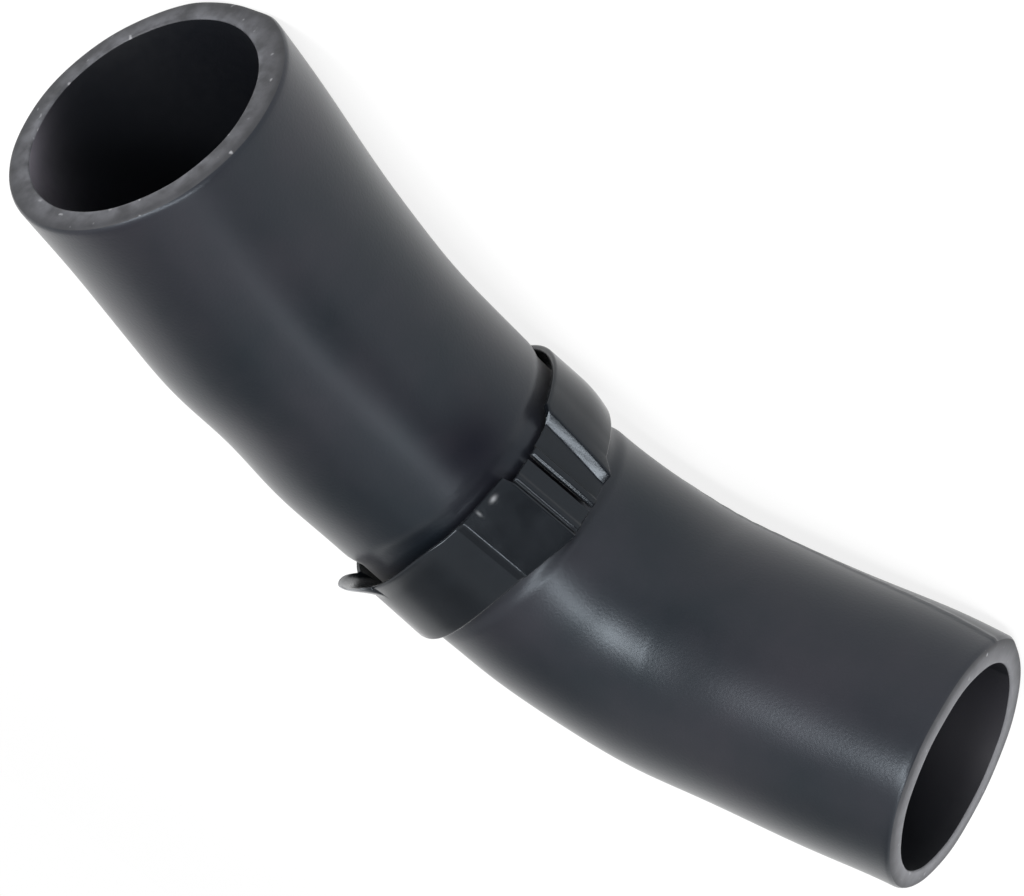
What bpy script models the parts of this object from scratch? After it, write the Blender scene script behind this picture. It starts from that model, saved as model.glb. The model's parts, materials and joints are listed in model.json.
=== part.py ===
"""Moulded rubber heater hose with a one-piece plastic band clip, lying on its side.

The hose is one tube that runs straight, bend, straight, bend, straight, all in
one plane, and it is squeezed a little under the clip. The clip is one split
band round its middle, with a ribbed latch on the inner side of the bends and a
flared lip with a tongue towards end A.
Units are metres, +Z is up, and the origin is under the middle of the part, on
the surface that it lies on.
"""
from math import cos, pi, radians, sin, sqrt

import bmesh
import bpy
from mathutils import Matrix, Vector

# Hose
OUTER_RADIUS_A = 0.0247
OUTER_RADIUS_B = 0.0234
OUTER_SWELL = 0.0008
BORE_RADIUS_A = 0.0205
BORE_RADIUS_B = 0.0192
LEG_A = 0.0050
BEND_1_RADIUS = 0.1920
BEND_1_ANGLE = radians(25.6)
LEG_MIDDLE = 0.0136
BEND_2_RADIUS = 0.0471
BEND_2_ANGLE = radians(54.3)
LEG_B = 0.0502
RIM_ROUND = 0.0012
RIM_STEPS = 3
BORE_BREAK = 0.0004
NECK_DEPTH = 0.0007
NECK_HALF_WIDTH = 0.0095
NECK_FADE = 0.0030
HOSE_SIDES = 56
BEND_STEP = radians(5.0)

# Clip: where it sits, and the section of its plain band
CLIP_STATION = 0.0958
CLIP_TILT = radians(2.6)
CLIP_LEAN = radians(2.0)
CLIP_BORE_RADIUS = 0.0253
BAND_RADIUS = 0.0265
BAND_HALF_WIDTH = 0.0075
EDGE_BREAK = 0.0003
CLIP_STEP = 7.0

# Steps in which the part is tilted on to its two rims and its clip
TILT_STEPS = 60

# Clip: features by their angle round the hose, in degrees from straight up,
# positive towards the outer side of the bends
SPLIT_FROM, SPLIT_TO = -93.4, -91.4
JAW_RADIUS = 0.0271
JAW_FROM, JAW_TO = 138.0, 249.5
JAW_WALL = 3.0
JAW_SKEW = 3.6
RECESS_RADIUS = 0.0259
RIB_RADIUS = 0.0267
STRIP_RADIUS = 0.0263
PAD_RADIUS = 0.0272
PAD_FROM, PAD_TO = -80.5, -57.5
LATCH_SHIFT = 0.0021
LATCH_RISE = (246.0, 252.0)
LATCH_FADE = (-56.0, -80.0)
PAD_NOTCH = 0.3
DRIFT = 0.0018
DRIFT_RISE = (-45.0, 10.0)
DRIFT_FADE = (60.0, 130.0)
LIP_LENGTH = 0.0010
LIP_FROM, LIP_TO = -48.0, 62.0
LIP_RISE = 14.0
LIP_EDGE = 0.0004
HOLLOW_DEPTH = 0.0008
TONGUE_LENGTH = 0.0036
TONGUE_ANGLE = 16.0
TONGUE_HALF_ANGLE = 16.0
TONGUE_SQUARENESS = 3.0
TONGUE_STEPS = 12
FLARE_REACH = 0.0024

HOSE_COLOUR = (0.030, 0.033, 0.038, 1.0)
CLIP_COLOUR = (0.016, 0.018, 0.022, 1.0)

TOTAL_BEND = BEND_1_ANGLE + BEND_2_ANGLE
HOSE_LENGTH = (LEG_A + BEND_1_ANGLE * BEND_1_RADIUS + LEG_MIDDLE
               + BEND_2_ANGLE * BEND_2_RADIUS + LEG_B)


def clear_scene():
    for item in list(bpy.data.objects):
        bpy.data.objects.remove(item, do_unlink=True)


def make_material(name, colour, roughness):
    material = bpy.data.materials.new(name)
    material.use_nodes = True
    shader = material.node_tree.nodes["Principled BSDF"]
    shader.inputs["Base Color"].default_value = colour
    shader.inputs["Roughness"].default_value = roughness
    shader.inputs["Metallic"].default_value = 0.0
    return material


def centre_line(distance):
    """Point and heading, in the plane of the bends, at a distance from end A."""
    # The first heading splits what the bends leave of a right angle between the ends.
    heading = (pi / 2 - TOTAL_BEND) / 2
    x, y = 0.0, 0.0
    runs = ((LEG_A, None), (BEND_1_ANGLE * BEND_1_RADIUS, BEND_1_RADIUS), (LEG_MIDDLE, None),
            (BEND_2_ANGLE * BEND_2_RADIUS, BEND_2_RADIUS), (LEG_B, None))
    for length, radius in runs:
        step = min(distance, length)
        if radius is None:
            x += step * cos(heading)
            y += step * sin(heading)
        else:
            turned = heading + step / radius
            x += radius * (sin(turned) - sin(heading))
            y += radius * (cos(heading) - cos(turned))
            heading = turned
        distance -= step
    return Vector((x, y, 0.0)), heading


def section_frame(distance, extra_turn=0.0):
    """Matrix of a cross-section: X is up, Y the outer side of the bends, Z along the hose."""
    point, heading = centre_line(distance)
    heading += extra_turn
    along = Vector((cos(heading), sin(heading), 0.0))
    up = Vector((0.0, 0.0, 1.0))
    turn = Matrix((up, along.cross(up), along)).transposed().to_4x4()
    return Matrix.Translation(point) @ turn


def hose_stations():
    """Distances at which the hose has a ring of points: the ends of each run, and steps in bends."""
    stations = [LEG_A / 2, LEG_A]
    for angle, radius, next_leg in ((BEND_1_ANGLE, BEND_1_RADIUS, LEG_MIDDLE),
                                    (BEND_2_ANGLE, BEND_2_RADIUS, LEG_B)):
        start = stations[-1]
        steps = round(angle / BEND_STEP) + 1
        stations += [start + angle * radius * i / steps for i in range(1, steps + 1)]
        stations += [stations[-1] + next_leg * share for share in (1 / 3, 2 / 3, 1)]
    for reach in (NECK_HALF_WIDTH, NECK_HALF_WIDTH + NECK_FADE):
        stations += [CLIP_STATION - reach, CLIP_STATION + reach]
    return sorted(station for station in stations if station < HOSE_LENGTH - RIM_ROUND)


def ramp(value, start, end):
    """0 before start, 1 after end, straight between."""
    return min(1.0, max(0.0, (value - start) / (end - start)))


def smooth(share):
    return share * share * (3 - 2 * share)


def radius_at(distance, at_a, at_b, swell=0.0):
    """Straight taper from A to B, with a swell that is largest halfway along."""
    share = distance / HOSE_LENGTH
    return at_a + (at_b - at_a) * share + swell * 4 * share * (1 - share)


def outer_radius(distance):
    """The tapered outside, squeezed in under the clip."""
    squeeze = ramp(abs(distance - CLIP_STATION), NECK_HALF_WIDTH + NECK_FADE, NECK_HALF_WIDTH)
    return radius_at(distance, OUTER_RADIUS_A, OUTER_RADIUS_B, OUTER_SWELL) - NECK_DEPTH * squeeze


def skin_rings(mesh, rings, closed):
    """Quads between each ring of points and the next."""
    count = len(rings[0])
    pairs = list(zip(rings, rings[1:]))
    if closed:
        pairs.append((rings[-1], rings[0]))
    for ring, following in pairs:
        for i in range(count):
            j = (i + 1) % count
            mesh.faces.new((ring[i], ring[j], following[j], following[i]))


def finish_object(name, mesh, material, parent):
    bmesh.ops.recalc_face_normals(mesh, faces=mesh.faces)
    data = bpy.data.meshes.new(name)
    mesh.to_mesh(data)
    mesh.free()
    data.materials.append(material)
    data.shade_smooth()
    data.set_sharp_from_angle(angle=radians(30.0))
    item = bpy.data.objects.new(name, data)
    bpy.context.scene.collection.objects.link(item)
    item.parent = parent
    return item


def make_hose(material, parent):
    """Rings down the outside from A to B and back up the bore: rounded outside, broken inside."""
    far = HOSE_LENGTH
    corner = [(RIM_ROUND * (1 - sin(turn)), RIM_ROUND * (1 - cos(turn)))
              for turn in (pi / 2 * i / RIM_STEPS for i in range(RIM_STEPS + 1))]
    profile = [(inset, OUTER_RADIUS_A - drop) for inset, drop in reversed(corner)]
    profile += [(s, outer_radius(s)) for s in hose_stations()]
    profile += [(far - inset, OUTER_RADIUS_B - drop) for inset, drop in corner]
    profile += [(far, BORE_RADIUS_B + BORE_BREAK), (far - BORE_BREAK, BORE_RADIUS_B)]
    profile += [(s, radius_at(s, BORE_RADIUS_A, BORE_RADIUS_B)) for s in reversed(hose_stations())]
    profile += [(BORE_BREAK, BORE_RADIUS_A), (0.0, BORE_RADIUS_A + BORE_BREAK)]

    mesh = bmesh.new()
    rings = []
    for distance, radius in profile:
        ring = bmesh.ops.create_circle(mesh, segments=HOSE_SIDES, radius=radius,
                                       matrix=section_frame(distance))
        rings.append(ring["verts"])
    skin_rings(mesh, rings, closed=True)
    return finish_object("hose", mesh, material, parent)


def clip_outline(skew):
    """Corners of the clip's outer radius: the split's far side, a rib, the flat pad, the band,
    the jaw, the recess and a second rib. The jaw's wall stands askew, so skew moves it on."""
    wall = JAW_TO + skew
    return ((SPLIT_TO, STRIP_RADIUS), (-85.4, STRIP_RADIUS), (-84.4, RIB_RADIUS), (-82.6, RIB_RADIUS),
            (-81.4, STRIP_RADIUS), (PAD_FROM, PAD_RADIUS), (PAD_TO, PAD_RADIUS), (-54.0, BAND_RADIUS),
            (JAW_FROM, BAND_RADIUS), (JAW_FROM + 8.0, JAW_RADIUS), (wall, JAW_RADIUS),
            (wall + JAW_WALL, RECESS_RADIUS), (262.4, RECESS_RADIUS), (263.2, RIB_RADIUS),
            (265.4, RIB_RADIUS), (360.0 + SPLIT_FROM, STRIP_RADIUS))


def clip_radius(angle, skew):
    outline = clip_outline(skew)
    for (start, low), (end, high) in zip(outline, outline[1:]):
        if angle <= end:
            break
    if (start, end) == (PAD_FROM, PAD_TO):
        # The pad is flat: its middle is nearer to the axis than its corners.
        half = (end - start) / 2
        return PAD_RADIUS * cos(radians(half)) / cos(radians(angle - start - half))
    return low + (high - low) * ramp(angle, start, end)


def clip_edges(angle):
    """Where the clip's A and B edges are along its axis: latch and top are set over towards B."""
    if angle > 0:
        share_a = share_b = ramp(angle, *LATCH_RISE)
    else:
        share_a = ramp(angle, PAD_FROM + PAD_NOTCH, PAD_FROM)
        share_b = ramp(angle, *LATCH_FADE)
    drift = DRIFT * (smooth(ramp(angle, *DRIFT_RISE)) - smooth(ramp(angle, *DRIFT_FADE)))
    return (-BAND_HALF_WIDTH + LATCH_SHIFT * share_a + drift,
            BAND_HALF_WIDTH + LATCH_SHIFT * share_b + drift)


def lip_reach(angle):
    """How far the flared lip stands out: a low collar, and a round-ended tongue."""
    collar = LIP_LENGTH * min(ramp(angle, LIP_FROM, LIP_FROM + LIP_RISE),
                              ramp(angle, LIP_TO, LIP_TO - LIP_RISE))
    across = abs(angle - TONGUE_ANGLE) / TONGUE_HALF_ANGLE
    tongue = TONGUE_LENGTH * max(0.0, 1.0 - across ** TONGUE_SQUARENESS) ** (1 / TONGUE_SQUARENESS)
    return collar + tongue


def clip_angles():
    """Every feature's corner, the tongue's round end, and even steps between them."""
    corners = {angle for skew in (0.0, JAW_SKEW) for angle, _ in clip_outline(skew)}
    corners.update((PAD_FROM + PAD_NOTCH, *LATCH_RISE, *DRIFT_RISE, *DRIFT_FADE))
    corners.update((LIP_FROM, LIP_FROM + LIP_RISE, LIP_TO - LIP_RISE, LIP_TO))
    for i in range(TONGUE_STEPS + 1):
        corners.add(TONGUE_ANGLE - TONGUE_HALF_ANGLE * cos(pi * i / TONGUE_STEPS))
    corners = sorted(corners)
    angles = []
    for start, end in zip(corners, corners[1:]):
        steps = max(1, round((end - start) / CLIP_STEP))
        angles += [start + (end - start) * i / steps for i in range(steps)]
    return angles + [corners[-1]]


def clip_section(angle):
    """Closed outline of the clip at one angle, as (along, radius) pairs from the bore's A end."""
    edge_a, edge_b = clip_edges(angle)
    outer_a, outer_b = clip_radius(angle, 0.0), clip_radius(angle, JAW_SKEW)
    bore = CLIP_BORE_RADIUS
    flare = lip_reach(angle) / sqrt(2)
    # The bore opens out towards edge A as far as leaves a thin edge there.
    lip_inside = min(bore + HOLLOW_DEPTH, outer_a - EDGE_BREAK / 2 - LIP_EDGE)
    return ((edge_a + FLARE_REACH, bore), (edge_b - EDGE_BREAK, bore),
            (edge_b, bore + EDGE_BREAK / 2), (edge_b, outer_b - EDGE_BREAK), (edge_b - EDGE_BREAK, outer_b),
            (edge_a + FLARE_REACH, outer_a), (edge_a + EDGE_BREAK - flare, outer_a + flare),
            (edge_a - flare, outer_a - EDGE_BREAK / 2 + flare), (edge_a - flare, lip_inside + flare))


def make_clip(material, parent):
    """The section carried round the hose from one side of the split to the other."""
    frame = section_frame(CLIP_STATION, CLIP_TILT) @ Matrix.Rotation(-CLIP_LEAN, 4, "Y")
    mesh = bmesh.new()
    sections = []
    for angle in clip_angles():
        turn = radians(angle)
        section = [mesh.verts.new(frame @ Vector((radius * cos(turn), radius * sin(turn), along)))
                   for along, radius in clip_section(angle)]
        sections.append(section)
    skin_rings(mesh, sections, closed=False)
    mesh.faces.new(sections[0])
    mesh.faces.new(reversed(sections[-1]))
    return finish_object("band_clip", mesh, material, parent)


def lay_down(hose, clip, holder):
    """Tilt the part until both rims and the clip touch the surface, and centre it over the origin."""
    start, _ = centre_line(0.0)
    end, _ = centre_line(HOSE_LENGTH)
    near_a, near_b = [], []
    for vertex in hose.data.vertices:
        nearer = near_a if (vertex.co - start).length < (vertex.co - end).length else near_b
        nearer.append(vertex.co.copy())
    groups = (near_a, near_b, [vertex.co.copy() for vertex in clip.data.vertices])
    down = Vector((0.0, 0.0, -1.0))
    for _ in range(TILT_STEPS):
        feet = [max(group, key=lambda point: point.dot(down)) for group in groups]
        normal = (feet[1] - feet[0]).cross(feet[2] - feet[0]).normalized()
        # Half of each turn at a time, so that the feet settle on one corner each.
        down = (down + (normal if normal.z < 0 else -normal)).normalized()
    tilt = down.rotation_difference(Vector((0.0, 0.0, -1.0))).to_matrix()
    points = [tilt @ point for group in groups for point in group]
    low = Vector([min(point[axis] for point in points) for axis in range(3)])
    high = Vector([max(point[axis] for point in points) for axis in range(3)])
    centre = (low + high) / 2
    holder.matrix_world = Matrix.Translation((-centre.x, -centre.y, -low.z)) @ tilt.to_4x4()


def main():
    clear_scene()
    rubber = make_material("hose_rubber", HOSE_COLOUR, 0.55)
    plastic = make_material("clip_plastic", CLIP_COLOUR, 0.40)
    holder = bpy.data.objects.new("rest_frame", None)
    bpy.context.scene.collection.objects.link(holder)
    hose = make_hose(rubber, holder)
    clip = make_clip(plastic, holder)
    lay_down(hose, clip, holder)
    bpy.context.view_layer.update()


main()
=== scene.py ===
import json
import math

import bpy
import numpy as np
from mathutils import Matrix, Vector

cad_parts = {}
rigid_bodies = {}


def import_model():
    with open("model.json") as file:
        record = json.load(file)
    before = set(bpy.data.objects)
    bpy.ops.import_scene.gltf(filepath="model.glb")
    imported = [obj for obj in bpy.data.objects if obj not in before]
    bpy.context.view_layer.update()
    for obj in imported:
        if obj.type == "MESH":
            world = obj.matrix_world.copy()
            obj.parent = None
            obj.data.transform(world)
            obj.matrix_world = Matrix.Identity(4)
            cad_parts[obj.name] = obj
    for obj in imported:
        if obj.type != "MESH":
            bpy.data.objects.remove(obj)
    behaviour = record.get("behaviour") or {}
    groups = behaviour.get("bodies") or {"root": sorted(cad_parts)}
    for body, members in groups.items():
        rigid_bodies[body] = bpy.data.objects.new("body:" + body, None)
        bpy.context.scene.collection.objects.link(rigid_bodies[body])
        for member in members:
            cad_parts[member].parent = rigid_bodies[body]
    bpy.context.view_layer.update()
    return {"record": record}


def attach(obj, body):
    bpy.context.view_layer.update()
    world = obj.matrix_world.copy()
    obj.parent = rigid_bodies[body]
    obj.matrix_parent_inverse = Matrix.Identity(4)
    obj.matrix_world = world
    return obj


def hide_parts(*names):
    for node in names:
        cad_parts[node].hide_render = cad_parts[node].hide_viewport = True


# Heater hose with its band clip: finish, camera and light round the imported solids.
# Lengths in the dictionaries are millimetres and angles degrees; the scene is in metres.

mm = 0.001

for old in list(bpy.data.objects):
    bpy.data.objects.remove(old, do_unlink=True)
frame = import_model()
print("frame loaded")


# hex to linear, the one place where a colour is turned
def linearColour(hexColour):
    parts = [int(hexColour[i:i + 2], 16) / 255 for i in (1, 3, 5)]
    return [p / 12.92 if p <= 0.04045 else ((p + 0.055) / 1.055) ** 2.4 for p in parts] + [1.0]


def addNode(tree, kind, inputs=None, **settings):
    node = tree.nodes.new(kind)
    for name, value in settings.items():
        setattr(node, name, value)
    for socket, value in (inputs or {}).items():
        if isinstance(value, bpy.types.NodeSocket):
            tree.links.new(value, node.inputs[socket])
        else:
            node.inputs[socket].default_value = value
    return node


# A stretch of the hose is a straight leg or an arc; the centre line is their sum.
hosePath = {
    "legA": 5.0,
    "bend1": (192.0, 25.6),      # radius, angle
    "legMiddle": 13.6,
    "bend2": (47.1, 54.3),
    "legB": 50.2,
}

hoseShape = {
    "outerA": 24.7,
    "outerB": 23.4,
    "swell": 0.8,
    "boreA": 20.5,
    "boreB": 19.2,
    "rimRound": 1.2,             # outer corner of each cut end
    "boreRound": 0.45,
    "around": 240,
    "outerRows": 220,
    "boreRows": 60,
    "rimRows": 8,
    "cornerRows": 7,
    "cutCorner": 0.7,            # radians round a rim's corner where skin and cut meet
    "neckAt": 97.3,              # where the clip squeezes the hose
    "neckDepth": 0.7,
    "neckHalf": 8.0,
    "neckFade": 4.0,
    "neckLead": 3.0,             # how much sooner it starts on the inner side of the bends
    "leadSide": (-0.1, 0.4),     # how far towards that side the lead starts and is full, as sines
    # soft bulges: distance along, angle round, half-lengths of both, height
    "bulges": [
        (14, -156, 22, 45, 1.2), (62, -156, 12, 40, -0.35), (126, -156, 14, 40, 0.35),
        (190, -156, 15, 40, 0.85), (14, 20, 14, 55, -0.6), (42, 20, 10, 50, 0.5), (55, 20, 9, 50, -0.3),
        (70, 20, 9, 50, 0.4), (111, 20, 7, 45, -0.3), (147, 20, 12, 45, 0.45), (197, 20, 13, 50, -0.8),
        (154, -58, 7, 22, -0.4), (198, -58, 13, 28, 0.45),
    ],
    "offFloor": (-1.0, -0.92),   # cosines of the angle where the bulges start and are full
    # unevenness of the wall: height, lobes round, length along for each radian
    "ripples": [(0.05, 2, 17.0), (0.03, 3, -11.0)],
    "partingAngle": -148.0,      # at the distance partingFrom
    "partingFrom": 164.0,
    "partingTwist": 0.33,        # degrees for each mm
    "partingRise": (112.0, 140.0),
    "partingWidth": 0.5,
    "partingHeight": 0.22,
    # wander of the knife: height, waves round, phase
    "rimWaves": [(0.06, 2, 0.7), (0.036, 5, 2.1), (0.024, 11, 0.0)],
    "rimReach": 3.0,             # how far from a cut face the wander fades out
}


def hoseRuns():
    runs = []
    for name in ("legA", "bend1", "legMiddle", "bend2", "legB"):
        run = hosePath[name]
        if isinstance(run, tuple):
            turn = math.radians(run[1])
            runs.append((run[0] * mm * turn, turn))
        else:
            runs.append((run * mm, 0.0))
    return runs


hoseLength = sum(length for length, turn in hoseRuns())

# The part's own axes come from the two cut faces in the record.
faces = {mount["name"]: mount for mount in frame["record"]["mounts"]}
alongA = -np.array(faces["end_a_face"]["axis"])
alongB = np.array(faces["end_b_face"]["axis"])
hoseUp = np.cross(alongA, alongB)
hoseUp /= np.linalg.norm(hoseUp)
innerA = np.cross(hoseUp, alongA)
innerB = np.cross(hoseUp, alongB)
# each mount's point is up from the centre line, halfway through the wall
wallA = (hoseShape["outerA"] + hoseShape["boreA"]) / 2 * mm
wallB = (hoseShape["outerB"] + hoseShape["boreB"]) / 2 * mm
endA = np.array(faces["end_a_face"]["pos_m"]) - hoseUp * wallA
endB = np.array(faces["end_b_face"]["pos_m"]) - hoseUp * wallB


def fromEndB(along, up, inner):
    return along * alongB + up * hoseUp + inner * innerB


def centreLine(s):
    # A straight run adds its length along the heading. An arc adds radius times the change
    # in sine along the first heading and the change in cosine across it.
    heading = np.zeros_like(s)
    x, y = np.zeros_like(s), np.zeros_like(s)
    start = 0.0
    runs = hoseRuns()
    for i, (length, turn) in enumerate(runs):
        low = -np.inf if i == 0 else 0.0
        high = np.inf if i == len(runs) - 1 else length
        step = np.clip(s - start, low, high)
        if turn:
            radius = length / turn
            turned = heading + step / radius
            x = x + radius * (np.sin(turned) - np.sin(heading))
            y = y + radius * (np.cos(heading) - np.cos(turned))
            heading = turned
        else:
            x = x + step * np.cos(heading)
            y = y + step * np.sin(heading)
        start += length
    point = endA + x[..., None] * alongA + y[..., None] * innerA
    along = np.cos(heading)[..., None] * alongA + np.sin(heading)[..., None] * innerA
    return point, along


def roundHose(s, angle, radius):
    # Point at a distance s along the hose, and at a radius and an angle round it:
    # angle 0 is up, positive to the outer side of the bends.
    point, along = centreLine(s)
    outward = np.cos(angle)[..., None] * hoseUp + np.sin(angle)[..., None] * np.cross(along, hoseUp)
    return point + radius[..., None] * outward


def gridFaces(rows, columns, wrapRows, wrapColumns):
    # Quads between neighbouring rows and columns, joined end to start where it wraps.
    i = np.arange(rows if wrapRows else rows - 1)
    j = np.arange(columns if wrapColumns else columns - 1)
    a, b = np.meshgrid(i, j, indexing="ij")
    c, d = (a + 1) % rows, (b + 1) % columns
    quads = np.stack([a * columns + b, a * columns + d, c * columns + d, c * columns + b], -1)
    return quads.reshape(-1, 4)


def makeMesh(name, points, faceCorners, materials, faceMaterial=None):
    data = bpy.data.meshes.new(name)
    data.from_pydata(points.reshape(-1, 3).tolist(), [], faceCorners)
    for material in materials:
        data.materials.append(material)
    if faceMaterial is not None:
        data.polygons.foreach_set("material_index", faceMaterial.astype(np.int32))
    data.shade_smooth()
    data.update()
    piece = bpy.data.objects.new(name, data)
    bpy.context.scene.collection.objects.link(piece)
    return piece


def addAttribute(piece, name, values):
    layer = piece.data.attributes.new(name, "FLOAT", "POINT")
    layer.data.foreach_set("value", np.asarray(values, np.float32).ravel())


def bump(x, centre, width):
    return np.exp(-((x - centre) / width) ** 2)


def ramp(x, start, end):
    return np.clip((x - start) / (end - start), 0, 1)


def smooth(share):
    return share * share * (3 - 2 * share)


def outerRadius(s, angle):
    # Straight taper from A to B plus a parabola that peaks halfway, less the neck under the
    # clip, plus the soft bulges, the ripples and the low ridge of the parting line.
    # Underneath, where the hose lies on the floor, the bulges fade out.
    h = hoseShape
    along = s / mm
    share = s / hoseLength
    turn = np.degrees(angle)
    radius = h["outerA"] + (h["outerB"] - h["outerA"]) * share
    radius = radius + h["swell"] * 4 * share * (1 - share)
    fromNeck = along - h["neckAt"]
    lead = h["neckLead"] * smooth(ramp(-np.sin(angle), *h["leadSide"])) * (fromNeck < 0)
    offNeck = ramp(np.abs(fromNeck) - h["neckHalf"] - lead, 0, h["neckFade"])
    radius = radius - h["neckDepth"] * (1 - smooth(offNeck))
    offFloor = smooth(ramp(np.cos(angle), *h["offFloor"]))
    for centre, side, length, width, height in h["bulges"]:
        aside = (turn - side + 180) % 360 - 180
        radius = radius + offFloor * height * bump(along, centre, length) * bump(aside, 0, width)
    for height, lobes, pitch in h["ripples"]:
        radius = radius + height * np.sin(lobes * angle + along / pitch)
    partingAt = h["partingAngle"] + h["partingTwist"] * (along - h["partingFrom"])
    across = np.radians(turn - partingAt) * h["outerB"]
    ridge = h["partingHeight"] * ramp(along, *h["partingRise"]) * bump(across, 0.0, h["partingWidth"])
    return (radius + ridge) * mm


def hoseRows():
    # Rows run down the outside from A to B, over cut face B, back up the bore and over
    # cut face A. A rim corner is a quarter circle. Each row: distance in millimetres, the
    # surface it is measured from with an amount, and its material.
    h = hoseShape
    skin, cut, lining = 0, 1, 2
    big, small = h["rimRound"], h["boreRound"]
    quarter = np.linspace(0, np.pi / 2, h["cornerRows"])
    length = hoseLength / mm
    rows = [(s, "outer", 0.0, skin) for s in np.linspace(big, length - big, h["outerRows"])]
    rows += [(length - big + big * np.sin(q), "outer", big * (1 - np.cos(q)),
              skin if q < h["cutCorner"] else cut) for q in quarter[1:]]
    shares = np.linspace(0, 1, h["rimRows"] + 2)[1:-1]
    rows += [(length, "across", share, cut) for share in shares]
    rows += [(length - small + small * np.cos(q), "bore", small * (1 - np.sin(q)),
              cut if q < quarter[-1] else lining) for q in quarter]
    rows += [(s, "bore", 0.0, lining) for s in np.linspace(length - small, small, h["boreRows"])[1:-1]]
    rows += [(small - small * np.sin(q), "bore", small * (1 - np.cos(q)),
              cut if q > 0 else lining) for q in quarter]
    rows += [(0.0, "across", 1 - share, cut) for share in shares]
    rows += [(big - big * np.cos(q), "outer", big * (1 - np.sin(q)),
              skin if q > h["cutCorner"] else cut) for q in quarter[:-1]]
    return rows


def makeHose(materials):
    # The profile in hoseRows carried round the centre line. The radius of a row is the outer
    # or bore radius, moved by its amount, or lies that share of the way across the wall.
    h = hoseShape
    rows = hoseRows()
    columns = h["around"]
    angle = np.linspace(-np.pi, np.pi, columns, endpoint=False)[None, :]
    s = np.array([row[0] for row in rows])[:, None] * mm + 0 * angle
    angle = angle + 0 * s
    outer = outerRadius(s, angle)
    bore = (h["boreA"] + (h["boreB"] - h["boreA"]) * s / hoseLength) * mm
    amount = np.array([row[2] for row in rows])[:, None]
    surface = np.array([row[1] for row in rows])[:, None]
    rimOuter, rimBore = outer - h["rimRound"] * mm, bore + h["boreRound"] * mm
    radius = np.where(surface == "outer", outer - amount * mm,
                      np.where(surface == "bore", bore + amount * mm,
                               rimOuter + (rimBore - rimOuter) * amount))
    # the knife wanders, so the cut faces are not quite flat
    nearRims = ramp(s / mm, h["rimReach"], 0) + ramp((hoseLength - s) / mm, h["rimReach"], 0)
    for height, waves, phase in h["rimWaves"]:
        s = s + height * mm * nearRims * np.sin(waves * angle + phase)
    points = roundHose(s, angle, radius)

    # rows run from A to B while the angle grows from column to column, which faces the quads
    # inwards, so their corners are taken in reverse
    corners = gridFaces(len(rows), columns, True, True)[:, ::-1].tolist()
    faceMaterial = np.repeat([row[3] for row in rows], columns)
    piece = makeMesh("hoseRubber", points, corners, materials, faceMaterial)
    # painted light in the bore near each end: it falls off exponentially into the bore and as a bell curve
    # round it
    turn = np.degrees(angle)
    paintedBoreLight = 0 * s
    for depth, end in ((s / mm, "chalkA"), ((hoseLength - s) / mm, "chalkB")):
        reach, side, width, most = boreFinish[end]
        paintedBoreLight = paintedBoreLight + most * np.exp(-np.abs(depth) / reach) * bump(turn, side, width)
    addAttribute(piece, "paintedBoreLight", paintedBoreLight)
    # painted shade beside the clip's edge A: a patch where the reflection and the sheen are turned down
    place, side, length, width = hoseFinish["paintedShade"]
    addAttribute(piece, "paintedShade", bump(s / mm, place, length) * bump(turn, side, width))
    # 0 at the bore and 1 at the outside of the wall
    outwards = np.clip((radius - bore) / (outer - bore), 0, 1)
    addAttribute(piece, "outwards", outwards)
    addAttribute(piece, "scuffed", cutFinish["scuffB"] * (1 - outwards) * (s > hoseLength / 2))
    return piece


clipShape = {
    "station": 95.8,             # where its middle sits along the hose
    "tilt": 2.6,
    "lean": 2.0,
    "bore": 25.3,
    "halfWidth": 7.5,
    "corner": 0.45,
    "cornerShare": 0.45,         # the most of the wall that a corner takes
    "band": 26.5,
    "pad": 27.2,
    "jaw": 27.1,
    "jawCrest": 27.5,            # just before its wall
    "recess": 25.75,
    "rib": 26.7,
    "strip": 26.3,
    "splitFrom": -93.4,
    "splitTo": -91.4,
    "padRib": (-85.4, -84.4, -82.6, -81.4),
    "padFrom": -80.5,
    "padTo": -57.5,
    "padStep": 1.2,              # degrees over which edge A steps at the pad
    "bandFrom": -54.0,
    "jawFrom": 138.0,
    "jawRamp": 8.0,
    "crestRamp": 14.0,
    "jawTo": 248.2,
    "jawWall": 3.7,
    "jawSkew": 3.6,
    "jawRib": (262.4, 263.2, 265.4),
    "soften": 0.8,               # degrees over which the outline's corners are rounded
    "latchShift": 2.1,
    "latchRise": (246.0, 252.0),
    "latchFade": (-56.0, -80.0),
    "drift": 1.8,
    "driftRise": (-45.0, 10.0),
    "driftFade": (80.0, 140.0),
    "lip": 1.0,
    "lipFrom": -48.0,
    "lipTo": 29.0,
    "lipRise": 14.0,
    "hollow": 0.8,
    "hollowShare": 0.4,          # the most of the wall that the hollow takes
    "tongue": 3.6,
    "tongueAngle": 13.5,
    "tongueHalf": 14.0,
    "tonguePower": 3.0,
    "flareReach": 2.6,
    "flarePower": 1.4,
    # painted highlights on the pad's edge A: distance along, angle, their half-lengths, amount
    "highlightSpots": [(-6.3, -71.4, 0.35, 1.4, 0.55), (-6.5, -64.0, 0.5, 0.5, 0.35)],
    "top": (15, 45),             # angle and half-width of the rise on top
    "topRise": 0.7,
    "underJaw": (205, 45),       # and of the fall under the jaw
    "jawFall": 0.9,
    "jawFallFrom": 0.55,
    "plain": (-52.0, 240.0),     # the plain band lies between these angles
    "sections": (150, 200, 130),  # before, over and after the plain band
    "tongueSections": 61,
    "across": 48,
    "cornerPoints": 5,
    "crowding": 1.5,             # draws the points across the band towards edge A
}


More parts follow.
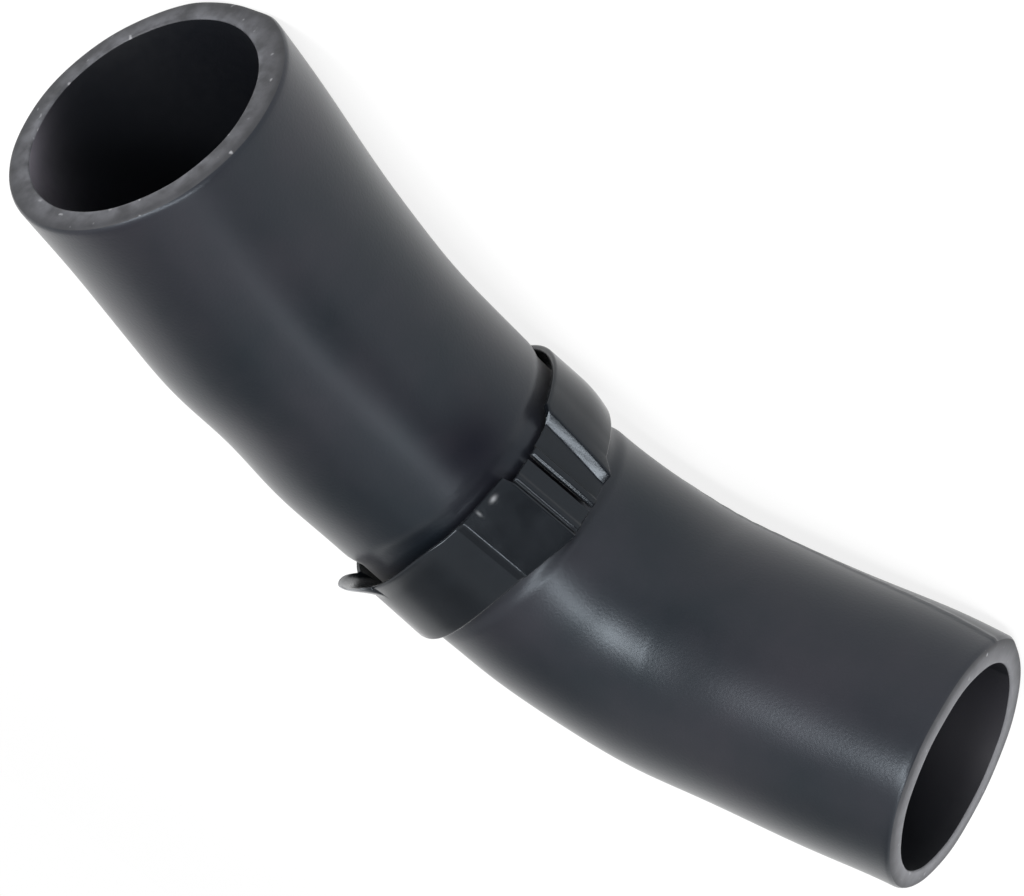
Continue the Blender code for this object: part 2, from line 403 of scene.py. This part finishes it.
def clipOutline(angle, skew):
    # Straight lines between the outline's corners, and a flat chord over the pad. The jaw's
    # wall stands askew, so its corners move on by skew.
    c = clipShape
    wall = c["jawTo"] + skew
    rib1, rib2, rib3, rib4 = c["padRib"]
    rib5, rib6, rib7 = c["jawRib"]
    corners = [(c["splitTo"], c["strip"]), (rib1, c["strip"]), (rib2, c["rib"]), (rib3, c["rib"]),
               (rib4, c["strip"]), (c["padFrom"], c["pad"]), (c["padTo"], c["pad"]),
               (c["bandFrom"], c["band"]), (c["jawFrom"], c["band"]),
               (c["jawFrom"] + c["jawRamp"], c["jaw"]), (wall - c["crestRamp"], c["jaw"]),
               (wall, c["jawCrest"]), (wall + c["jawWall"], c["recess"]), (rib5, c["recess"]),
               (rib6, c["rib"]), (rib7, c["rib"]), (360 + c["splitFrom"], c["strip"])]
    radius = np.interp(angle, [a for a, r in corners], [r for a, r in corners])
    half = (c["padTo"] - c["padFrom"]) / 2
    middle = (c["padTo"] + c["padFrom"]) / 2
    chord = c["pad"] * np.cos(np.radians(half)) / np.cos(np.radians(angle - middle))
    return np.where(np.abs(angle - middle) <= half, chord, radius)


def clipRadius(angle, skew):
    # The mean of the outline over a short window, which rounds its corners.
    window = np.linspace(-0.5, 0.5, 9) * clipShape["soften"]
    low, high = clipShape["splitTo"], 360 + clipShape["splitFrom"]
    return np.mean([clipOutline(np.clip(angle + w, low, high), skew) for w in window], axis=0)


def makeClip(material):
    # A rounded rectangle between the bore and the outline's radius, carried round the hose.
    # Near edge A it is drawn outwards and back along a 45 degree line, which makes the lip,
    # and further in a superellipse, which makes the tongue.
    c = clipShape
    start, end = c["splitTo"], 360 + c["splitFrom"]
    plainFrom, plainTo = c["plain"]
    before, between, after = c["sections"]
    swing = np.sin(np.linspace(-np.pi / 2, np.pi / 2, c["tongueSections"]))
    angles = np.concatenate([np.linspace(start, plainFrom, before),
                             np.linspace(plainFrom, plainTo, between), np.linspace(plainTo, end, after),
                             c["tongueAngle"] + c["tongueHalf"] * swing])
    angles = np.unique(angles.round(3))
    rise = ramp(angles, *c["latchRise"])
    shareA = np.where(angles > 0, rise, ramp(angles, c["padFrom"] + c["padStep"], c["padFrom"]))
    shareB = np.where(angles > 0, rise, ramp(angles, *c["latchFade"]))
    drift = smooth(ramp(angles, *c["driftRise"])) - smooth(ramp(angles, *c["driftFade"]))
    drift = drift * c["drift"]
    edgeA = (-c["halfWidth"] + c["latchShift"] * shareA + drift)[:, None]
    edgeB = (c["halfWidth"] + c["latchShift"] * shareB + drift)[:, None]
    collar = c["lip"] * np.minimum(ramp(angles, c["lipFrom"], c["lipFrom"] + c["lipRise"]),
                                   ramp(angles, c["lipTo"], c["lipTo"] - c["lipRise"]))
    fromTongue = np.abs((angles - c["tongueAngle"]) / c["tongueHalf"])
    inTongue = np.clip(1 - fromTongue ** c["tonguePower"], 0, None) ** (1 / c["tonguePower"])
    reach = (collar + c["tongue"] * inTongue)[:, None]

    # the same number of points on the outer and the bore side, both from edge A to edge B
    flat = c["across"] // 2 - 2 * c["cornerPoints"]
    arc = np.linspace(0, np.pi / 2, c["cornerPoints"])
    steps = np.linspace(0, 1, flat + 2)[1:-1] ** c["crowding"]
    spread = np.concatenate([0 * arc, steps, 1 + 0 * arc])
    middle = np.ones(flat)
    cornerIn = np.concatenate([1 - np.sin(arc), 0 * middle, 1 - np.sin(arc[::-1])])
    fromEdge = np.concatenate([1 - np.cos(arc), middle, 1 - np.cos(arc[::-1])])
    outer = np.stack([clipRadius(angles, c["jawSkew"] * share) for share in spread], 1)
    # towards B the band stands out more on top and falls away under the jaw
    onTop, underJaw = bump(angles, *c["top"])[:, None], bump(angles, *c["underJaw"])[:, None]
    outer = outer + c["topRise"] * onTop * spread
    outer = outer - c["jawFall"] * underJaw * ramp(spread, c["jawFallFrom"], 1.0) ** 2
    wall = outer - c["bore"]
    round1 = np.minimum(c["corner"], wall * c["cornerShare"])
    inner1, inner2 = edgeA + round1, edgeB - round1
    outward = np.where(spread == 0, -1, 1) * round1 * (1 - fromEdge)
    x = inner1 + (inner2 - inner1) * spread + np.where((spread == 0) | (spread == 1), outward, 0)
    nearA = ramp(x, edgeA + c["flareReach"], edgeA)
    outerSide = outer - round1 * cornerIn
    hollow = nearA * np.minimum(c["hollow"], wall * c["hollowShare"])
    boreSide = c["bore"] + round1 * cornerIn + hollow
    draw = nearA ** c["flarePower"] * reach / math.sqrt(2)
    x = np.concatenate([x - draw, (x - draw)[:, ::-1]], 1)
    r = np.concatenate([outerSide + draw, (boreSide + draw)[:, ::-1]], 1)

    # the clip's own axes: turned in the plane of the bends by the tilt, out of it by the lean
    centre, along = centreLine(np.array(c["station"] * mm))
    tilt, lean = math.radians(c["tilt"]), math.radians(c["lean"])
    turned = math.cos(tilt) * along + math.sin(tilt) * np.cross(hoseUp, along)
    outerDirection = np.cross(turned, hoseUp)
    axis = math.cos(lean) * turned - math.sin(lean) * hoseUp
    clipUp = math.cos(lean) * hoseUp + math.sin(lean) * turned
    turn = np.radians(angles)[:, None, None]
    outwards = np.cos(turn) * clipUp + np.sin(turn) * outerDirection
    points = centre + (x * mm)[..., None] * axis + (r * mm)[..., None] * outwards

    # the quads of the skin, and those of the two faces of the split
    columns = points.shape[1]
    i = np.arange(columns // 2 - 1)
    j = columns - 1 - i
    last = (len(angles) - 1) * columns
    corners = np.concatenate([gridFaces(len(angles), columns, False, True),
                              np.stack([i, j, j - 1, i + 1], -1),
                              np.stack([i, i + 1, j - 1, j], -1) + last]).tolist()
    piece = makeMesh("clipBand", points, corners, [material])
    # painted highlight: it grows with the cube of how far the tongue is drawn out, and sits as glints on
    # the pad's edge A
    paintedHighlight = np.concatenate([draw, draw[:, ::-1]], 1) / (c["tongue"] + c["lip"]) * math.sqrt(2)
    paintedHighlight = np.clip(paintedHighlight, 0, 1) ** 3
    for along, side, length, width, amount in c["highlightSpots"]:
        paintedHighlight = paintedHighlight + amount * bump(x, along, length) * bump(angles[:, None], side, width)
    addAttribute(piece, "paintedHighlight", paintedHighlight)
    return piece


noiseLow, noiseHigh = 0.3, 0.7   # where most of a noise texture's values lie


# EPDM rubber, cured on a steel mandrel: satin, dark blue-grey, with a faint cloudy bloom
# and a fine grain. Rubber has an IOR of about 1.5.
hoseFinish = {
    "dark": "#0a0f15",
    "cloud": "#1b191f",
    "skinTint": "#e9f5ff",       # the cured skin reflects a little cooler than white
    "bloomMm": 34.0,
    "bloomRange": (0.35, 0.68),  # of the noise, from none of the cloud to all of it
    "grainMm": 0.55,             # the real grain is finer; this is the finest that shows
    "grainDepthMm": 0.2,
    "grainStrength": 0.10,
    "roughLow": 0.29,
    "roughHigh": 0.38,
    "ior": 1.42,
    "specular": 0.5,
    "sheen": 0.25,
    "sheenRough": 0.35,
    # painted shade beside the clip's edge A, where the hose's reflection and sheen are turned down:
    # distance along, angle round, their half-lengths
    "paintedShade": (79.0, -80.0, 9.0, 17.0),
    "paintedShadeSpecular": 0.05,
}


def mouldedRubber():
    f = hoseFinish
    material = bpy.data.materials.new("epdmRubberMoulded")
    material.use_nodes = True
    tree = material.node_tree
    shader = tree.nodes["Principled BSDF"]
    place = addNode(tree, "ShaderNodeTexCoord")
    bloom = addNode(tree, "ShaderNodeTexNoise", {
        "Vector": place.outputs["Object"], "Scale": 1000 / f["bloomMm"], "Detail": 4.0, "Roughness": 0.55})
    spread = addNode(tree, "ShaderNodeMapRange", {
        "Value": bloom.outputs["Fac"], "From Min": f["bloomRange"][0], "From Max": f["bloomRange"][1]})
    colour = addNode(tree, "ShaderNodeMix", {
        0: spread.outputs["Result"], 6: linearColour(f["dark"]), 7: linearColour(f["cloud"])},
        data_type="RGBA")
    rough = addNode(tree, "ShaderNodeMapRange", {
        "Value": bloom.outputs["Fac"], "From Min": noiseLow, "From Max": noiseHigh,
        "To Min": f["roughLow"], "To Max": f["roughHigh"]})
    grain = addNode(tree, "ShaderNodeTexNoise", {
        "Vector": place.outputs["Object"], "Scale": 1000 / f["grainMm"], "Detail": 2.0})
    raised = addNode(tree, "ShaderNodeBump", {
        "Height": grain.outputs["Fac"], "Strength": f["grainStrength"], "Distance": f["grainDepthMm"] * mm})
    tree.links.new(colour.outputs[2], shader.inputs["Base Color"])
    tree.links.new(rough.outputs["Result"], shader.inputs["Roughness"])
    tree.links.new(raised.outputs["Normal"], shader.inputs["Normal"])
    shader.inputs["IOR"].default_value = f["ior"]
    shader.inputs["Specular Tint"].default_value = linearColour(f["skinTint"])
    shader.inputs["Sheen Roughness"].default_value = f["sheenRough"]
    # the painted shade patch turns the specular level and the sheen down, standing in for the clip's shadow
    paintedShade = addNode(tree, "ShaderNodeAttribute", attribute_name="paintedShade")
    for socket, full, left in (("Specular IOR Level", f["specular"], f["paintedShadeSpecular"]),
                               ("Sheen Weight", f["sheen"], 0.0)):
        level = addNode(tree, "ShaderNodeMapRange", {
            "Value": paintedShade.outputs["Fac"], "To Min": full, "To Max": left})
        tree.links.new(level.outputs["Result"], shader.inputs[socket])
    return material


# The same rubber where a knife has cut it: matt, paler, with fibre ends and drag marks.
cutFinish = {
    "rubber": "#2d2e32",
    "pale": "#515257",
    "skin": "#1d1e22",           # towards the outside
    "scuff": "#707175",          # the cut at B is scuffed paler, by this share at the bore
    "scuffB": 0.7,
    "speck": "#8e8f92",
    "skinRange": (0.12, 1.0),    # from the bore outwards, where it starts and is full
    "patchMm": 3.0,
    "patchRange": (0.35, 0.65),
    "speckMm": 1.9,
    "speckRange": (0.70, 0.80),
    "dragDepthMm": 0.3,
    "dragStrength": 0.4,
    "roughness": 0.6,
}


def cutRubber():
    f = cutFinish
    material = bpy.data.materials.new("epdmRubberKnifeCut")
    material.use_nodes = True
    tree = material.node_tree
    shader = tree.nodes["Principled BSDF"]
    place = addNode(tree, "ShaderNodeTexCoord")
    patch = addNode(tree, "ShaderNodeTexNoise", {
        "Vector": place.outputs["Object"], "Scale": 1000 / f["patchMm"], "Detail": 5.0})
    spread = addNode(tree, "ShaderNodeMapRange", {
        "Value": patch.outputs["Fac"], "From Min": f["patchRange"][0], "From Max": f["patchRange"][1]})
    base = addNode(tree, "ShaderNodeMix", {
        0: spread.outputs["Result"], 6: linearColour(f["rubber"]), 7: linearColour(f["pale"])},
        data_type="RGBA")
    outwards = addNode(tree, "ShaderNodeAttribute", attribute_name="outwards")
    fade = addNode(tree, "ShaderNodeMapRange", {
        "Value": outwards.outputs["Fac"], "From Min": f["skinRange"][0], "From Max": f["skinRange"][1]})
    faded = addNode(tree, "ShaderNodeMix", {
        0: fade.outputs["Result"], 6: base.outputs[2], 7: linearColour(f["skin"])}, data_type="RGBA")
    scuffed = addNode(tree, "ShaderNodeAttribute", attribute_name="scuffed")
    paler = addNode(tree, "ShaderNodeMix", {
        0: scuffed.outputs["Fac"], 6: faded.outputs[2], 7: linearColour(f["scuff"])}, data_type="RGBA")
    dots = addNode(tree, "ShaderNodeTexNoise", {
        "Vector": place.outputs["Object"], "Scale": 1000 / f["speckMm"], "Detail": 1.0})
    isSpeck = addNode(tree, "ShaderNodeMapRange", {
        "Value": dots.outputs["Fac"], "From Min": f["speckRange"][0], "From Max": f["speckRange"][1]})
    colour = addNode(tree, "ShaderNodeMix", {
        0: isSpeck.outputs["Result"], 6: paler.outputs[2], 7: linearColour(f["speck"])}, data_type="RGBA")
    raised = addNode(tree, "ShaderNodeBump", {
        "Height": patch.outputs["Fac"], "Strength": f["dragStrength"], "Distance": f["dragDepthMm"] * mm})
    tree.links.new(colour.outputs[2], shader.inputs["Base Color"])
    tree.links.new(raised.outputs["Normal"], shader.inputs["Normal"])
    shader.inputs["Roughness"].default_value = f["roughness"]
    return material


# The bore, as the mandrel left it: the darkest and smoothest face of the rubber.
boreFinish = {
    "colour": "#0c0e13",
    "paintedBoreLight": "#6d6a72",          # painted light that falls into the bore near the ends
    # distance into the bore over which it fades, angle round, half-width, amount: at A, at B
    "chalkA": (5.0, 45.0, 24.0, 0.9),
    "chalkB": (14.0, 140.0, 45.0, 0.12),
    "roughness": 0.5,
    "roughVaries": 0.08,
    "specular": 0.3,
    "streakMm": 1.5,
    "streakDepthMm": 0.2,
    "streakStrength": 0.15,
}


def boreRubber():
    f = boreFinish
    material = bpy.data.materials.new("epdmRubberBore")
    material.use_nodes = True
    tree = material.node_tree
    shader = tree.nodes["Principled BSDF"]
    place = addNode(tree, "ShaderNodeTexCoord")
    streak = addNode(tree, "ShaderNodeTexNoise", {
        "Vector": place.outputs["Object"], "Scale": 1000 / f["streakMm"], "Detail": 3.0})
    rough = addNode(tree, "ShaderNodeMapRange", {
        "Value": streak.outputs["Fac"], "To Min": f["roughness"] - f["roughVaries"],
        "To Max": f["roughness"] + f["roughVaries"]})
    raised = addNode(tree, "ShaderNodeBump", {
        "Height": streak.outputs["Fac"], "Strength": f["streakStrength"],
        "Distance": f["streakDepthMm"] * mm})
    # painted light near the ends of the bore, mixed into its colour
    paintedBoreLight = addNode(tree, "ShaderNodeAttribute", attribute_name="paintedBoreLight")
    colour = addNode(tree, "ShaderNodeMix", {
        0: paintedBoreLight.outputs["Fac"], 6: linearColour(f["colour"]), 7: linearColour(f["paintedBoreLight"])},
        data_type="RGBA")
    shader.inputs["Specular IOR Level"].default_value = f["specular"]
    tree.links.new(colour.outputs[2], shader.inputs["Base Color"])
    tree.links.new(rough.outputs["Result"], shader.inputs["Roughness"])
    tree.links.new(raised.outputs["Normal"], shader.inputs["Normal"])
    return material


# Injection-moulded polyamide: near black, with a fine satin texture that dulls its reflections.
clipFinish = {
    "dark": "#090b0e",
    "worn": "#0f1216",
    "skinTint": "#e9f4ff",
    "paintedHighlight": "#9a9c9f",       # painted highlight on the tongue's end and glints on the pad's edge A
    "sheen": 0.03,
    "sheenRough": 0.3,
    "cloudMm": 6.25,
    "grainMm": 0.4,
    "grainDepthMm": 0.2,
    "grainStrength": 0.05,
    "roughLow": 0.14,
    "roughHigh": 0.23,
    "ior": 1.37,
}


def mouldedPolyamide():
    f = clipFinish
    material = bpy.data.materials.new("polyamideMoulded")
    material.use_nodes = True
    tree = material.node_tree
    shader = tree.nodes["Principled BSDF"]
    place = addNode(tree, "ShaderNodeTexCoord")
    cloud = addNode(tree, "ShaderNodeTexNoise", {
        "Vector": place.outputs["Object"], "Scale": 1000 / f["cloudMm"], "Detail": 4.0})
    colour = addNode(tree, "ShaderNodeMix", {
        0: cloud.outputs["Fac"], 6: linearColour(f["dark"]), 7: linearColour(f["worn"])}, data_type="RGBA")
    # painted highlights on the tongue and the pad's edge A, mixed into the colour
    highlightMask = addNode(tree, "ShaderNodeAttribute", attribute_name="paintedHighlight")
    seen = addNode(tree, "ShaderNodeMix", {
        0: highlightMask.outputs["Fac"], 6: colour.outputs[2], 7: linearColour(f["paintedHighlight"])}, data_type="RGBA")
    rough = addNode(tree, "ShaderNodeMapRange", {
        "Value": cloud.outputs["Fac"], "From Min": noiseLow, "From Max": noiseHigh,
        "To Min": f["roughLow"], "To Max": f["roughHigh"]})
    grain = addNode(tree, "ShaderNodeTexNoise", {
        "Vector": place.outputs["Object"], "Scale": 1000 / f["grainMm"]})
    raised = addNode(tree, "ShaderNodeBump", {
        "Height": grain.outputs["Fac"], "Strength": f["grainStrength"], "Distance": f["grainDepthMm"] * mm})
    tree.links.new(seen.outputs[2], shader.inputs["Base Color"])
    shader.inputs["Sheen Weight"].default_value = f["sheen"]
    shader.inputs["Sheen Roughness"].default_value = f["sheenRough"]
    tree.links.new(rough.outputs["Result"], shader.inputs["Roughness"])
    tree.links.new(raised.outputs["Normal"], shader.inputs["Normal"])
    shader.inputs["IOR"].default_value = f["ior"]
    shader.inputs["Specular Tint"].default_value = linearColour(f["skinTint"])
    return material


hosePiece = makeHose([mouldedRubber(), cutRubber(), boreRubber()])
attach(hosePiece, "root")
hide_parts("hose")
print("hose", len(hosePiece.data.polygons), "faces")

clipPiece = makeClip(mouldedPolyamide())
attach(clipPiece, "root")
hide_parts("band_clip")
print("clip", len(clipPiece.data.polygons), "faces")


# Camera: millimetres along end B's axis, up from the plane of the bends and to their inner
# side, all from the middle of cut face B.
cameraSetup = {
    "eye": (102.5, 124.9, 347.6),
    "aim": (-63.7, 10.2, 74.0),
    "roll": 144.7,
    "focalLength": 77.3,
    "sensor": 36.0,
    "near": 0.01,                # metres, as is far
    "far": 50.0,
}


def makeCamera():
    c = cameraSetup
    eye = Vector(endB + fromEndB(*c["eye"]) * mm)
    aim = Vector(endB + fromEndB(*c["aim"]) * mm)
    forward = (aim - eye).normalized()
    up = Vector(hoseUp) - forward * forward.dot(Vector(hoseUp))
    up.normalize()
    right = forward.cross(up)
    roll = math.radians(c["roll"])
    imageUp = up * math.cos(roll) + right * math.sin(roll)
    imageRight = forward.cross(imageUp)
    data = bpy.data.cameras.new("camera")
    data.lens = c["focalLength"]
    data.sensor_width = c["sensor"]
    data.clip_start = c["near"]
    data.clip_end = c["far"]
    camera = bpy.data.objects.new("camera", data)
    bpy.context.scene.collection.objects.link(camera)
    turn = Matrix((imageRight, imageUp, -forward)).transposed().to_4x4()
    camera.matrix_world = Matrix.Translation(eye) @ turn
    bpy.context.scene.camera = camera


makeCamera()
print("camera placed")

bendPlace = (-50, 12, 20)        # millimetres from the middle of cut face B, as for the camera

# Soft boxes: direction from the bend along end B's axis, up and inner side; distance, length
# and width in metres; the axis that the length runs along; strength in watts.
lampSetup = {
    "key": ((0.0, 0.69, 0.70), 1.0, 0.42, 0.24, (1, 0, 0), 5.3),
    "keyEnd": ((0.60, 0.63, 0.44), 1.0, 0.86, 0.13, (0.76, -0.20, -0.62), 6.6),
    "side": ((0.83, 0.55, -0.16), 1.0, 0.34, 0.10, (0, 0, 1), 0.45),
}


def makeLamps():
    middle = Vector(endB + fromEndB(*bendPlace) * mm)
    for name, (direction, distance, length, width, runsAlong, watts) in lampSetup.items():
        data = bpy.data.lights.new(name, "AREA")
        data.shape = "RECTANGLE"
        data.size = length
        data.size_y = width
        data.energy = watts
        lamp = bpy.data.objects.new(name, data)
        bpy.context.scene.collection.objects.link(lamp)
        away = Vector(fromEndB(*direction)).normalized()
        lengthwise = Vector(fromEndB(*runsAlong))
        lengthwise = (lengthwise - away * away.dot(lengthwise)).normalized()
        turn = Matrix((lengthwise, away.cross(lengthwise), away)).transposed().to_4x4()
        lamp.matrix_world = Matrix.Translation(middle + away * distance) @ turn
        lamp.visible_camera = False


makeLamps()

# The floor is matt white. To the camera and to reflections it is mostly plain white, with a
# share of its real shading, so that it keeps a faint shadow.
stageSetup = {
    "floorHalf": 6.0,
    "floorColour": "#ffffff",
    "floorRoughness": 0.9,
    "shadowShare": 0.15,
    "worldDiffuse": 1.0,
    "worldSeen": 1.0,
    # dark openings of the tent in reflections: direction from the bend along end B's axis, up
    # and inner side; cosines of the angles where the dark starts and is full; what is left
    "openings": [((0.27, 0.32, 0.90), 0.20, 0.95, 0.76), ((0.96, 0.20, 0.10), 0.86, 0.97, 0.30),
                 ((0.0, 0.86, -0.50), 0.86, 0.98, 0.42)],
}


def makeFloor():
    s = stageSetup
    half = s["floorHalf"]
    data = bpy.data.meshes.new("studioFloor")
    points = [(-half, -half, 0), (half, -half, 0), (half, half, 0), (-half, half, 0)]
    data.from_pydata(points, [], [(0, 1, 2, 3)])
    material = bpy.data.materials.new("paintedFloor")
    material.use_nodes = True
    tree = material.node_tree
    shader = tree.nodes["Principled BSDF"]
    shader.inputs["Base Color"].default_value = linearColour(s["floorColour"])
    shader.inputs["Roughness"].default_value = s["floorRoughness"]
    rays = addNode(tree, "ShaderNodeLightPath")
    seen = addNode(tree, "ShaderNodeMath", {
        0: rays.outputs["Is Camera Ray"], 1: rays.outputs["Is Glossy Ray"]}, operation="MAXIMUM")
    alsoThrough = addNode(tree, "ShaderNodeMath", {
        0: seen.outputs[0], 1: rays.outputs["Is Transmission Ray"]}, operation="MAXIMUM")
    share = addNode(tree, "ShaderNodeMath", {
        0: alsoThrough.outputs[0], 1: 1 - s["shadowShare"]}, operation="MULTIPLY")
    white = addNode(tree, "ShaderNodeEmission", {"Color": (1, 1, 1, 1), "Strength": 1.0})
    mixed = addNode(tree, "ShaderNodeMixShader", {
        0: share.outputs[0], 1: shader.outputs[0], 2: white.outputs[0]})
    tree.links.new(mixed.outputs[0], tree.nodes["Material Output"].inputs["Surface"])
    data.materials.append(material)
    floor = bpy.data.objects.new("studioFloor", data)
    bpy.context.scene.collection.objects.link(floor)


def makeWorld():
    # White all round to the camera and to diffuse light. Reflections also show the dark
    # openings of a white tent, one of them where the camera stands.
    s = stageSetup
    world = bpy.data.worlds.new("studio")
    world.use_nodes = True
    tree = world.node_tree
    background = tree.nodes["Background"]
    background.inputs["Color"].default_value = (1, 1, 1, 1)
    place = addNode(tree, "ShaderNodeTexCoord")
    tent = s["worldSeen"]
    for direction, start, full, left in s["openings"]:
        towards = addNode(tree, "ShaderNodeVectorMath", {
            0: place.outputs["Generated"], 1: Vector(fromEndB(*direction)).normalized()},
            operation="DOT_PRODUCT")
        share = addNode(tree, "ShaderNodeMapRange", {
            "Value": towards.outputs["Value"], "From Min": start, "From Max": full,
            "To Min": 1.0, "To Max": left}, interpolation_type="SMOOTHSTEP")
        darker = addNode(tree, "ShaderNodeMath", {
            0: tent, 1: share.outputs["Result"]}, operation="MULTIPLY")
        tent = darker.outputs[0]
    rays = addNode(tree, "ShaderNodeLightPath")
    direct = addNode(tree, "ShaderNodeMath", {
        0: rays.outputs["Is Camera Ray"], 1: rays.outputs["Is Transmission Ray"]}, operation="MAXIMUM")
    reflected = addNode(tree, "ShaderNodeMix", {
        0: rays.outputs["Is Glossy Ray"], 2: s["worldDiffuse"], 3: tent})
    strength = addNode(tree, "ShaderNodeMix", {
        0: direct.outputs[0], 2: reflected.outputs[0], 3: s["worldSeen"]})
    tree.links.new(strength.outputs[0], background.inputs["Strength"])
    bpy.context.scene.world = world


makeFloor()
makeWorld()
bpy.context.scene.view_settings.view_transform = "Standard"
print("stage set")
